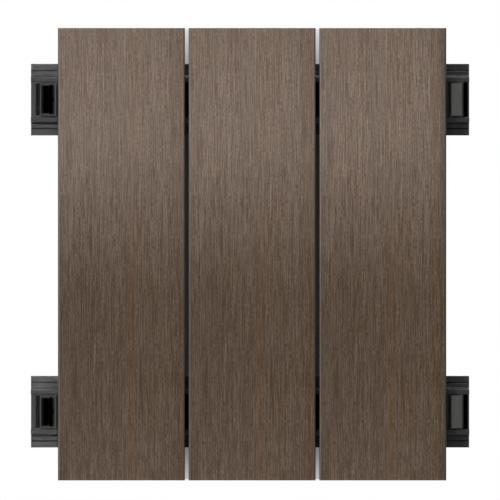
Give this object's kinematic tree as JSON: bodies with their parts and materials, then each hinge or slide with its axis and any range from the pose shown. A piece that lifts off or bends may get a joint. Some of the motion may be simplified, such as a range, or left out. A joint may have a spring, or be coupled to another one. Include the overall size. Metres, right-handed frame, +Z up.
{
  "type": "composite cladding panel",
  "caption": "Upright composite cladding boards with eased edges, clipped side by side on two channel rails that screw to a wall.",
  "frame": {"origin": "on the wall plane, at the middle of the four outer wall screw holes", "axes": "+X along the rails to the right as seen from the front, +Y into the wall, +Z up along the boards"},
  "size_m": [0.4736, 0.04, 0.488],
  "materials": {
    "board": "brushed dark brown wood composite, satin",
    "rail": "black anodised, satin",
    "clip": "black moulded plastic"
  },
  "bodies": {
    "root": {"board_1": "board", "board_2": "board", "board_3": "board", "upper_rail": "rail", "lower_rail": "rail", "upper_clip_1": "clip", "upper_clip_2": "clip", "upper_clip_3": "clip", "upper_clip_4": "clip", "lower_clip_1": "clip", "lower_clip_2": "clip", "lower_clip_3": "clip", "lower_clip_4": "clip"}
  },
  "joints": []
}
